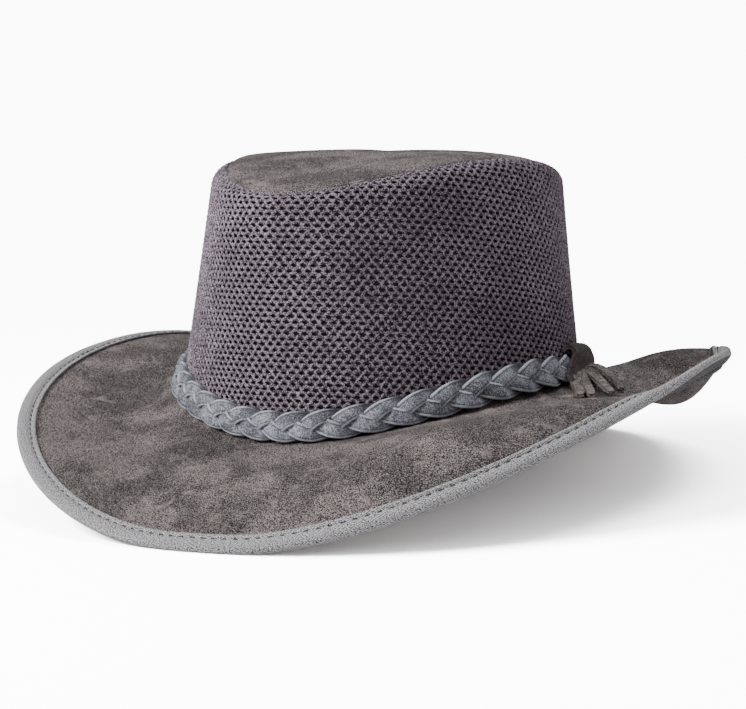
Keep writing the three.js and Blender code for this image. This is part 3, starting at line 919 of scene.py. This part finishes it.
def build_crown_top(leather):
    """The leather top, puffed up a little inside its sewn edge."""
    rings = 36
    degrees = angles_round(CROWN_STEPS)[:, None]
    reach = (np.arange(1, rings + 1) / rings)[None, :] ** 0.6
    degrees, reach = np.broadcast_arrays(degrees, reach)
    seam = wall_point(degrees, seam_rise(degrees), TOP_INSET)
    power = mixed(2, 3.5, np.sin(np.radians(degrees)) ** 2)
    x = seam[..., 0] * reach
    y = mixed(WALL_TOP["centre_y"], seam[..., 1], reach)
    height = mixed(TOP_PEAK, seam[..., 2], reach**power)
    inside = np.hypot(seam[..., 0], seam[..., 1] - WALL_TOP["centre_y"]) * (1 - reach)
    facing = np.maximum(np.cos(np.radians(degrees - TOP_PUFF["towards"])), 0)
    fuller = TOP_PUFF["rise"] + TOP_PUFF["more"] * facing
    settled = 0.35 + 0.65 * np.exp(-inside / TOP_PUFF["settles"])
    puff = fuller * (1 - np.exp(-inside / TOP_PUFF["fills"])) * settled - TOP_PUFF["sunk"]
    puff = puff + soft_waves(x, y, 0.2) * (1 - np.exp(-inside / 12))
    upper = np.stack([x, y, height + puff], -1)
    lower = np.stack([x, y, height + np.minimum(puff, 0.4) - TOP_THICK], -1)
    count = degrees.shape[0]
    middle = np.array([[0, WALL_TOP["centre_y"], TOP_PEAK + puff[0, 0]]])
    points = np.concatenate([upper.reshape(-1, 3), lower.reshape(-1, 3), middle, middle - (0, 0, 2.4)])
    offset = count * rings
    top = ring_faces(count, rings)[:, ::-1]
    low = ring_faces(count, rings) + offset
    i = np.arange(count)
    i2 = (i + 1) % count
    rim = np.stack([i * rings, i2 * rings, i2 * rings, i * rings], -1) + rings - 1
    rim[:, 2:] += offset
    faces = top.tolist() + low.tolist() + rim[:, ::-1].tolist()
    for a, b in zip((i * rings).tolist(), (i2 * rings).tolist()):
        faces.append([2 * offset, a, b])
    for a, b in zip((i * rings + offset).tolist(), (i2 * rings + offset).tolist()):
        faces.append([2 * offset + 1, b, a])
    make_piece("crown_leather", points, faces, leather, "crown_top")


# Brim and its binding

# Places of the cloth's rows in from the edge, on its faces and inside its slot
CLOTH_FACE = (8.8, 8.2, 7.4, 6.8, 6.3, 5.8, 5.0, 4.0, 3.0, 2.2)
CLOTH_INSIDE = (1.6, 5.2, 8.8)
SLOT_HALF = BRIM_THICK / 2 + GAP
STITCH_SHARE = 0.5
CLOTH_SWELL = 0.35
STITCH_SINK = {"depth": 0.6, "width": 0.8}
STITCH_PUCKER = {"height": 0.12, "width": 2.2}


def build_brim(leather):
    """The leather brim, gently uneven, its edge inside the binding."""
    degrees = angles_round(BRIM_STEPS)[:, None]
    foot = reach_from_opening(degrees, -3.0)
    rim = reach_from_edge(degrees, BINDING_NOSE + GAP)
    reach = foot + (rim - foot) * np.linspace(0, 1, 36)[None, :]
    degrees = np.broadcast_to(degrees, reach.shape)
    middle = brim_middle(degrees, reach)
    calm = np.clip((rim - reach) * 5, 0, 1) * np.clip(reach * 4 - 0.5, 0, 1)
    uneven = soft_waves(middle[..., 0], middle[..., 1], 0.5) * calm
    above = brim_point(degrees, reach, BRIM_THICK / 2 + uneven)
    below = brim_point(degrees, reach, -BRIM_THICK / 2 + uneven)
    outline = np.concatenate([above, below[:, ::-1]], 1)
    faces = ring_faces(outline.shape[0], outline.shape[1], True, True)
    make_piece("brim_leather", outline, faces, leather, "brim")


def edge_travel(degrees):
    """Millimetres travelled along the brim's edge at each angle."""
    points = brim_middle(degrees, np.ones_like(degrees))
    steps = np.linalg.norm(np.diff(points, axis=0), axis=-1)
    return np.concatenate([[0], np.cumsum(steps)])


def even_edge_angles(count):
    """Angles that divide the brim's edge into equal lengths."""
    degrees = np.linspace(-180, 180, 1441)
    travelled = edge_travel(degrees)
    return np.interp(np.arange(count) * travelled[-1] / count, travelled, degrees), travelled[-1]


def binding_height(distance, phase, stitch_at):
    """How far the cloth stands above the leather's middle, with a sunk stitch line."""
    face = SLOT_HALF + BINDING_THICK
    beside = distance - stitch_at
    swell = CLOTH_SWELL * np.sin(np.clip(distance / stitch_at, 0, 1) * math.pi)
    sunk = np.exp(-((beside / STITCH_SINK["width"]) ** 2))
    near = np.exp(-((beside / STITCH_PUCKER["width"]) ** 2))
    pucker = STITCH_PUCKER["height"] * np.cos(phase) * near
    cut = 0.15 * (distance > BINDING_WIDTH - 0.6)
    return face + swell - STITCH_SINK["depth"] * sunk + pucker - cut


def build_binding(sizes, colours):
    """Twill cloth folded round the brim's edge, sewn through near its inner edge."""
    step = sizes.stitch_length / MM
    stitch_at = BINDING_WIDTH - sizes.stitch_inset / MM
    _, travelled = even_edge_angles(10)
    stitches = int(round(travelled / step))
    per_stitch = 4
    degrees, travelled = even_edge_angles(stitches * per_stitch)
    degrees = degrees[:, None]
    phase = (np.arange(len(degrees)) / per_stitch * 2 * math.pi)[:, None]
    rows = []
    across = []
    for side in (1, -1):
        for distance in CLOTH_FACE[::side]:
            above = side * binding_height(distance, phase, stitch_at)
            rows.append(brim_point(degrees, reach_from_edge(degrees, distance), above))
            across.append(side * (BINDING_NOSE + distance))
        if side == 1:
            for angle in np.radians(np.linspace(80, -80, 7)):
                distance = BINDING_NOSE * (1 - math.cos(angle))
                above = np.full(phase.shape, (SLOT_HALF + BINDING_THICK) * math.sin(angle))
                rows.append(brim_point(degrees, reach_from_edge(degrees, distance), above))
                across.append(BINDING_NOSE * angle)
    for side in (-1, 1):
        for distance in CLOTH_INSIDE[::side]:
            height = np.full(phase.shape, side * SLOT_HALF)
            rows.append(brim_point(degrees, reach_from_edge(degrees, distance), height))
            across.append(distance)
    outline = np.concatenate(rows, 1)
    outline[..., 2] = np.maximum(outline[..., 2], 0)
    faces = ring_faces(outline.shape[0], outline.shape[1], True, True)
    material = twill_material((colours.cloth, colours.cloth_fleck, colours.cloth_shadow))
    piece = make_piece(
        "brim_binding_cloth", outline, faces[:, ::-1], material, "brim_binding"
    )
    along = np.arange(len(degrees)) * travelled / len(degrees)
    values = grid_corner_values(len(degrees), outline.shape[1], along, np.array(across), True)
    values = values.reshape(-1, 4, 3)[:, ::-1]
    corner_values(piece, "cloth_place", values)
    build_stitches(stitches, stitch_at, sizes.thread_width / MM, colours)


def build_stitches(count, stitch_at, width, colours):
    """Threads over the cloth, one short arch a stitch, on both faces."""
    degrees, _ = even_edge_angles(count)
    turn = 360 / count
    steps = np.linspace(-0.5, 0.5, 6)
    ring = np.radians(np.arange(6) * 60)
    material = thread_material(colours.thread, colours.cloth_shadow)
    for name, side in (("stitches_upper", 1), ("stitches_lower", -1)):
        centre = degrees[:, None] + (steps * STITCH_SHARE)[None, :] * turn + turn / 2
        base = binding_height(stitch_at, np.full(centre.shape, 0.0), stitch_at)
        arch = width * 0.8 * np.sqrt(np.maximum(1 - (steps * 2) ** 2, 0))[None, :]
        radius = width / 2 * np.sqrt(np.maximum(1.02 - (steps * 2) ** 2, 0))[None, :] ** 0.5
        rings = []
        for angle in ring:
            distance = stitch_at + radius * math.cos(angle)
            above = side * (base - width * 0.35 + arch + radius * math.sin(angle))
            rings.append(brim_point(centre, reach_from_edge(centre, distance), above))
        points = np.stack(rings, 2)
        points[..., 2] = np.maximum(points[..., 2], 0.05)
        single = ring_faces(len(steps), len(ring), False, True)
        faces = []
        block = len(steps) * len(ring)
        caps = [list(range(len(ring)))[::-1], list(range(block - len(ring), block))]
        for index in range(count):
            faces += (single + index * block).tolist()
            faces += [[index * block + k for k in cap] for cap in caps]
        make_piece(name, points, faces, material, "brim_binding")


# Plaited band


PLAIT_CENTRE = {"out": 2.7, "up": 7.25}
PLAIT_LEAN = math.radians(12)
PLAIT_DEPTH = 1.35


def plait_point(degrees, across, outward):
    """A point of the band: across its face from its middle, and out of that face."""
    out = PLAIT_CENTRE["out"] - across * math.sin(PLAIT_LEAN) + outward * math.cos(PLAIT_LEAN)
    up = PLAIT_CENTRE["up"] + across * math.cos(PLAIT_LEAN) + outward * math.sin(PLAIT_LEAN)
    return foot_point(degrees, out, up)


def lace_outline():
    """A lace's closed outline: the place across it from -1 to 1, and its face."""
    place = np.array([-1, -0.94, -0.8, -0.62, -0.42, -0.15, 0.15, 0.42, 0.62, 0.8, 0.94, 1])
    face = np.array([0, 0.55, 0.86, 0.8, 0.98, 1.06, 1.06, 0.98, 0.8, 0.86, 0.55, 0])
    return np.concatenate([place, place[-2:0:-1]]), np.concatenate([face, -face[-2:0:-1]])


def build_plait(sizes, lace):
    """Three laces that cross in turn all round the crown's foot."""
    periods = sizes.lobes / 3
    steps = sizes.lobes * 14
    half_width = sizes.lace_width / MM / 2
    half_thick = sizes.lace_thickness / MM / 2
    swing = PLAIT_HEIGHT / 2 - half_width * 0.95
    degrees = angles_round(steps)
    outline_place, outline_face = lace_outline()
    mean_radius = (OPENING["half_length"] + OPENING["half_width"]) / 2 + PLAIT_CENTRE["out"]
    along_per_degree = math.radians(1) * mean_radius
    for index in range(3):
        phase = np.radians(degrees) * periods + 2 * math.pi * index / 3
        across = swing * np.sin(phase)
        outward = PLAIT_DEPTH * np.sin(2 * phase)
        slope = swing * np.cos(phase) * math.radians(1) * periods / along_per_degree
        heading = np.arctan(slope)
        narrow = 1 - 0.08 * np.abs(np.sin(phase)) ** 3
        roll = -np.where(np.sin(phase) > 0, 0.5, 0.3) * np.abs(np.sin(phase)) ** 1.5
        wide = outline_place[None, :] * half_width * narrow[:, None]
        thick = outline_face[None, :] * half_thick
        side = wide * np.cos(roll)[:, None]
        lift = thick * np.cos(roll)[:, None] + wide * np.sin(roll)[:, None] * 0.45
        along = -side * np.sin(heading)[:, None]
        height = outward[:, None] + lift
        points = plait_point(
            degrees[:, None] + along / along_per_degree,
            across[:, None] + side * np.cos(heading)[:, None],
            height,
        )
        faces = ring_faces(steps, len(outline_place), True, True)
        piece = make_piece(f"plait_lace_{index + 1}", points, faces, lace, "hat_band")
        edge = np.broadcast_to(np.abs(outline_place), (steps, len(outline_place)))
        point_values(piece, "lace_edge", edge)
        # Painted shade: the lower a point of the lace lies, the darker it is painted
        point_values(piece, "lace_painted_shade", np.clip((0.9 - height) / 1.6, 0, 1))


# Wrap and fringe


# The wrap's outline across, as how far out and up from the crown's foot
WRAP_OUTLINE = np.array([
    (0.9, 15.2), (2.4, 17.3), (5.2, 17.4), (7.6, 15), (8.2, 11), (8.4, 7.5), (9, 5), (10.5, 3.6),
])
WRAP_RISE = 2.2
WRAP_THICK = 1.5
WRAP_FROM = 84.6
WRAP_TO = 104
WRAP_SLANT = 0.6
TAILS = [
    {"root": 84.6, "tip": 76.8, "reach": 22.5, "width": 3.8, "lift": 0.5},
    {"root": 87.4, "tip": 76.8, "reach": 29.0, "width": 3.4, "lift": 0.7},
    {"root": 90.4, "tip": 80.8, "reach": 33.5, "width": 3.6, "lift": 0.9},
    {"root": 94.2, "tip": 85.4, "reach": 32.3, "width": 3.2, "lift": 0.7},
]


TAIL_ROOT = {"out": 8.0, "up": 3.6}
TAIL_THICK = 1.2
TAIL_LYING = 0.5
LACE_END = {"from": 103.5, "to": 106.5, "low": 9.5, "high": 18.6, "half": 2.6, "out": 3.4}
FOOT_PER_DEGREE = 1.75


def smooth_line(points, count):
    """Points on a smooth line through a few given ones, evenly spread."""
    points = np.asarray(points, float)
    first = 2 * points[:1] - points[1:2]
    last = 2 * points[-1:] - points[-2:-1]
    padded = np.concatenate([first, points, last])
    t = np.linspace(0, len(points) - 1, count)
    i = np.minimum(t.astype(int), len(points) - 2)
    f = (t - i)[:, None]
    a, b, c, d = padded[i], padded[i + 1], padded[i + 2], padded[i + 3]
    square = (2 * a - 5 * b + 4 * c - d) * f**2
    cube = (3 * b - 3 * c + d - a) * f**3
    return 0.5 * (2 * b + (c - a) * f + square + cube)


def sheet_piece(name, front, back, material):
    """A closed sheet between two grids of points."""
    rows, columns = front.shape[:2]
    points = np.concatenate([front.reshape(-1, 3), back.reshape(-1, 3)])
    offset = rows * columns
    quads = ring_faces(rows, columns, False, False)
    loop = [(0, j) for j in range(columns)]
    loop += [(i, columns - 1) for i in range(1, rows)]
    loop += [(rows - 1, j) for j in range(columns - 2, -1, -1)]
    loop += [(i, 0) for i in range(rows - 2, 0, -1)]
    flat = [i * columns + j for i, j in loop]
    walls = [[a, b, b + offset, a + offset] for a, b in zip(flat, flat[1:] + flat[:1])]
    faces = quads.tolist() + (quads[:, ::-1] + offset).tolist() + [w[::-1] for w in walls]
    piece = make_piece(name, points, faces, material, "band_wrap")
    rounded = piece.modifiers.new("Soft edges", "BEVEL")
    rounded.width = 0.3 * MM
    rounded.segments = 2
    rounded.limit_method = "ANGLE"
    return piece


def build_wrap(colours, lace):
    """The slanted leather wrap over the plait, its fringe and the lace end behind it."""
    nap = {"patch_scale": 90.0, "speck": 0.5, "speck_scale": 1700.0, "depth": 0.0004}
    # Painted light: lit and shaded copies of one leather, the strip in the darker wrap colour as painted
    # shade, the fringe in the lighter fringe colour
    smooth = (colours.wrap, colours.fringe, colours.wrap_dark)
    fringe_lit_colours = (colours.fringe, colours.wrap_pale, colours.wrap_dark)
    material = leather_material("Wrap leather", smooth, **nap)
    cut = leather_material("Fringe leather", fringe_lit_colours, **nap)
    line = smooth_line(WRAP_OUTLINE, 30)
    before = np.roll(line, 1, 0)
    after = np.roll(line, -1, 0)
    before[0], after[-1] = line[0], line[-1]
    along = unit(after - before)
    inner = line - np.stack([-along[:, 1], along[:, 0]], -1) * WRAP_THICK
    share = np.linspace(0, 1, 26)[:, None]
    down = np.linspace(0, 1, len(line))[None, :]
    wavy = 1.1 * np.sin(down * 2 * math.pi * 0.9 + 0.5) * (1 - share) ** 2
    ripple = 0.25 * np.sin(share * 9 + down * 5) * np.sin(down * math.pi)

    def grid(outline):
        high = np.clip((outline[None, :, 1] - 9) / 8, 0, 1)
        up = outline[None, :, 1] + WRAP_RISE * high * np.sin(share * math.pi * 0.8)
        out = outline[None, :, 0] + ripple
        slant = WRAP_SLANT * (up - PLAIT_HEIGHT / 2)
        return foot_point(mixed(WRAP_FROM, WRAP_TO, share) + slant + wavy * 0.8, out, up)

    sheet_piece("band_wrap_strip", grid(line), grid(inner), material)
    for index, tail in enumerate(TAILS):
        build_tail(index, tail, cut)
    build_lace_end(lace)


def build_tail(index, tail, material):
    """One cut tail: it falls off the wrap, fans out and lies on the brim."""
    steps, sides = 22, 7
    share = np.linspace(0, 1, steps)
    angle = mixed(tail["root"], tail["tip"], share)
    out = mixed(TAIL_ROOT["out"], tail["reach"], share)
    lie = brim_middle(angle, reach_from_opening(angle, out))
    root = foot_point(np.array([tail["root"]]), TAIL_ROOT["out"], TAIL_ROOT["up"])[0]
    plan = lie[:, :2]
    heading = unit(np.gradient(plan, axis=0))
    cross = np.stack([heading[:, 1], -heading[:, 0]], -1)
    width = tail["width"] * (1.2 - 0.3 * share) / 2
    width = width * np.where(share > 0.93, 0.86, 1)
    span = np.linspace(-1, 1, sides)
    x = plan[:, None, 0] + cross[:, None, 0] * width[:, None] * span
    y = plan[:, None, 1] + cross[:, None, 1] * width[:, None] * span
    angle_under, reach_under = brim_place_under(x, y)
    ground = brim_face(angle_under, reach_under)
    root_up = root[2] - ground[0].mean()
    fall = np.maximum(1 - 1.7 * share, 0) ** 2
    curl = tail["lift"] * np.sin(share * math.pi) + 0.4 * share**3
    up = mixed(TAIL_LYING + curl, root_up, fall)[:, None] + 0.35 * span[None, :] ** 2
    upper = np.stack([x, y, ground + up + TAIL_THICK], -1)
    lower = np.stack([x, y, ground + up], -1)
    sheet_piece(f"fringe_{index + 1}", upper, lower, material)


def build_lace_end(lace):
    """The plait's lace end that stands up behind the wrap."""
    steps = 14
    share = np.linspace(0, 1, steps)
    outline_place, outline_face = lace_outline()
    degrees = mixed(LACE_END["from"], LACE_END["to"], share)
    up = mixed(LACE_END["low"], LACE_END["high"], share)
    half = LACE_END["half"] * (1 - share**4 * 0.55)
    points = foot_point(
        degrees[:, None] + outline_place[None, :] * half[:, None] / FOOT_PER_DEGREE,
        LACE_END["out"] + outline_face[None, :] + 0.6 * (1 - outline_place[None, :] ** 2),
        up[:, None],
    )
    faces = ring_faces(steps, len(outline_place), False, True).tolist()
    count = len(outline_place)
    faces += [list(range(count))[::-1], [(steps - 1) * count + k for k in range(count)]]
    piece = make_piece("plait_end", points, faces, lace, "hat_band")
    edge = np.broadcast_to(np.abs(outline_place), (steps, count))
    point_values(piece, "lace_edge", edge)
    point_values(piece, "lace_painted_shade", np.zeros((steps, count)))


# Stage


CAMERA_PLACE = Vector((0.5208, -1.0683, 0.2108))
CAMERA_AIM = Vector((-0.0024, -0.0012, 0.0586))
CAMERA_ROLL = math.radians(-1.54)
CAMERA_LENS = 124.4


def build_camera():
    """The camera at the photograph's place, looking at the hat's middle."""
    back = (CAMERA_PLACE - CAMERA_AIM).normalized()
    level = Vector((0, 0, 1)).cross(back).normalized()
    above = back.cross(level)
    right = level * math.cos(CAMERA_ROLL) + above * math.sin(CAMERA_ROLL)
    up = above * math.cos(CAMERA_ROLL) - level * math.sin(CAMERA_ROLL)
    camera = bpy.data.objects.new("Camera", bpy.data.cameras.new("Camera"))
    camera.data.lens = CAMERA_LENS
    camera.data.sensor_fit = "HORIZONTAL"
    camera.data.sensor_width = 36
    camera.data.clip_end = 50
    turned = Matrix((right, up, back)).transposed().to_4x4()
    camera.matrix_world = Matrix.Translation(CAMERA_PLACE) @ turned
    bpy.context.scene.collection.objects.link(camera)
    bpy.context.scene.camera = camera


LIGHTS = [
    {"name": "Key", "place": (-1.3, -1.4, 1.5), "size": 1.1, "watts": 80},
    {"name": "Front fill", "place": (-0.3, -2.4, 0.6), "size": 1.6, "watts": 3},
    {"name": "Top light", "place": (0.5, 0.6, 2.0), "size": 1.2, "watts": 22},
]
SURROUND = 0.3
BACKDROP = 11.0
FLOOR_GAIN = 8.5


def build_floor(colours):
    """A plain pale floor. The camera sees it brightened to white, as in a light tent."""
    material, build, shader = new_material("Studio floor", Roughness=0.9, Specular_IOR_Level=0.1)
    place = object_place(build)
    tone = build.mix(build.noise(place, 3, 2), colours.floor, linear(230, 230, 230))
    build.feed(shader.inputs["Base Color"], tone)
    bright = build.node("ShaderNodeBsdfDiffuse", {"Color": (FLOOR_GAIN, FLOOR_GAIN, FLOOR_GAIN, 1)})
    glow = build.node("ShaderNodeEmission", {"Strength": BACKDROP})
    distance = build.node("ShaderNodeVectorMath", operation="LENGTH")
    build.feed(distance.inputs[0], place)
    far = build.range(distance.outputs["Value"], 0.35, 1.1)
    seen = build.node("ShaderNodeMixShader", {"Fac": far})
    build.feed(seen.inputs[1], bright.outputs[0])
    build.feed(seen.inputs[2], glow.outputs[0])
    camera_ray = build.node("ShaderNodeLightPath").outputs["Is Camera Ray"]
    both = build.node("ShaderNodeMixShader", {"Fac": camera_ray})
    build.feed(both.inputs[1], shader.outputs[0])
    build.feed(both.inputs[2], seen.outputs[0])
    build.feed(material.node_tree.nodes["Material Output"].inputs["Surface"], both.outputs[0])
    mesh = bpy.data.meshes.new("floor")
    reach = 12
    corners = [(-reach, -reach, 0), (reach, -reach, 0), (reach, reach, 0), (-reach, reach, 0)]
    mesh.from_pydata(corners, [], [(0, 1, 2, 3)])
    mesh.materials.append(material)
    floor = bpy.data.objects.new("floor", mesh)
    bpy.context.scene.collection.objects.link(floor)


def build_surround():
    """A soft white surround, brighter where the camera sees it directly."""
    world = bpy.data.worlds.new("Studio")
    world.use_nodes = True
    build = Tree(world.node_tree)
    soft = world.node_tree.nodes["Background"]
    soft.inputs["Color"].default_value = (1, 1, 1, 1)
    soft.inputs["Strength"].default_value = SURROUND
    seen = build.node("ShaderNodeBackground", {"Color": (1, 1, 1, 1), "Strength": BACKDROP})
    camera_ray = build.node("ShaderNodeLightPath").outputs["Is Camera Ray"]
    both = build.node("ShaderNodeMixShader", {"Fac": camera_ray})
    build.feed(both.inputs[1], soft.outputs[0])
    build.feed(both.inputs[2], seen.outputs[0])
    build.feed(world.node_tree.nodes["World Output"].inputs["Surface"], both.outputs[0])
    bpy.context.scene.world = world


def build_lights():
    """Three large soft lights, the brightest in front at the left."""
    for light in LIGHTS:
        lamp = bpy.data.lights.new(light["name"], "AREA")
        lamp.energy = light["watts"]
        lamp.size = light["size"]
        holder = bpy.data.objects.new(light["name"], lamp)
        holder.location = light["place"]
        aim = Vector((0, 0, 0.07)) - Vector(light["place"])
        holder.rotation_euler = aim.to_track_quat("-Z", "Y").to_euler()
        bpy.context.scene.collection.objects.link(holder)


# Operators and panel


def hat_leather(colours):
    """The distressed leather of the brim and the top, made once."""
    name = "Distressed leather"
    worn = (colours.leather, colours.leather_pale, colours.leather_dark)
    return bpy.data.materials.get(name) or leather_material(name, worn, 33.0)


def hat_lace(colours):
    """The leather of the three laces, made once."""
    smooth = (colours.lace, colours.lace_pale, colours.lace_dark)
    return bpy.data.materials.get("Lace leather") or lace_material(smooth)


class HatStep:
    """What the operators share: each builds its pieces and finishes."""

    def execute(self, context):
        self.build(context.scene)
        return {"FINISHED"}


class MESHHAT_OT_crown_mesh(HatStep, bpy.types.Operator):
    """Lay the knitted mesh and its backing round the crown"""

    bl_idname = "mesh_hat.crown_mesh"
    bl_label = "Crown mesh"

    def build(self, scene):
        build_crown_net(scene.hat_mesh, scene.hat_colours)
        build_crown_wall()


class MESHHAT_OT_crown_top(HatStep, bpy.types.Operator):
    """Build the leather top of the crown"""

    bl_idname = "mesh_hat.crown_top"
    bl_label = "Crown top"

    def build(self, scene):
        build_crown_top(hat_leather(scene.hat_colours))


class MESHHAT_OT_brim(HatStep, bpy.types.Operator):
    """Build the leather brim"""

    bl_idname = "mesh_hat.brim"
    bl_label = "Brim"

    def build(self, scene):
        build_brim(hat_leather(scene.hat_colours))


class MESHHAT_OT_binding(HatStep, bpy.types.Operator):
    """Fold the twill binding round the brim's edge and sew it"""

    bl_idname = "mesh_hat.binding"
    bl_label = "Brim binding"

    def build(self, scene):
        build_binding(scene.hat_binding, scene.hat_colours)


class MESHHAT_OT_plait(HatStep, bpy.types.Operator):
    """Plait the three laces of the hat band"""

    bl_idname = "mesh_hat.plait"
    bl_label = "Plaited band"

    def build(self, scene):
        build_plait(scene.hat_plait, hat_lace(scene.hat_colours))


class MESHHAT_OT_wrap(HatStep, bpy.types.Operator):
    """Build the fringed wrap over the plait"""

    bl_idname = "mesh_hat.wrap"
    bl_label = "Fringed wrap"

    def build(self, scene):
        colours = scene.hat_colours
        build_wrap(colours, hat_lace(colours))


class MESHHAT_OT_stage(HatStep, bpy.types.Operator):
    """Set up the floor, the lights and the camera"""

    bl_idname = "mesh_hat.stage"
    bl_label = "Studio"

    def build(self, scene):
        build_camera()
        build_floor(scene.hat_colours)
        build_surround()
        build_lights()


class MESHHAT_PT_sidebar(bpy.types.Panel):
    bl_idname = "MESHHAT_PT_sidebar"
    bl_label = "Mesh Hat"
    bl_space_type = "VIEW_3D"
    bl_region_type = "UI"
    bl_category = "Mesh Hat"

    def draw(self, context):
        for group_name in SETTINGS:
            settings = getattr(context.scene, group_name)
            for name in settings.__annotations__:
                self.layout.prop(settings, name)
        for operator in OPERATORS:
            self.layout.operator(operator.bl_idname)


SETTINGS = {
    "hat_mesh": HatMeshSizes,
    "hat_binding": HatBindingSizes,
    "hat_plait": HatPlaitSizes,
    "hat_colours": HatColours,
}
OPERATORS = (
    MESHHAT_OT_stage,
    MESHHAT_OT_crown_mesh,
    MESHHAT_OT_crown_top,
    MESHHAT_OT_brim,
    MESHHAT_OT_binding,
    MESHHAT_OT_plait,
    MESHHAT_OT_wrap,
)


def register():
    for name, settings in SETTINGS.items():
        bpy.utils.register_class(settings)
        setattr(bpy.types.Scene, name, PointerProperty(type=settings))
    for operator in OPERATORS:
        bpy.utils.register_class(operator)
    bpy.utils.register_class(MESHHAT_PT_sidebar)


def unregister():
    bpy.utils.unregister_class(MESHHAT_PT_sidebar)
    for operator in reversed(OPERATORS):
        bpy.utils.unregister_class(operator)
    for name, settings in SETTINGS.items():
        delattr(bpy.types.Scene, name)
        bpy.utils.unregister_class(settings)


def main():
    register()
    bpy.ops.mesh_hat.stage()
    bpy.ops.mesh_hat.crown_mesh()
    bpy.ops.mesh_hat.crown_top()
    bpy.ops.mesh_hat.brim()
    bpy.ops.mesh_hat.binding()
    bpy.ops.mesh_hat.plait()
    bpy.ops.mesh_hat.wrap()


if __name__ == "__main__":
    main()
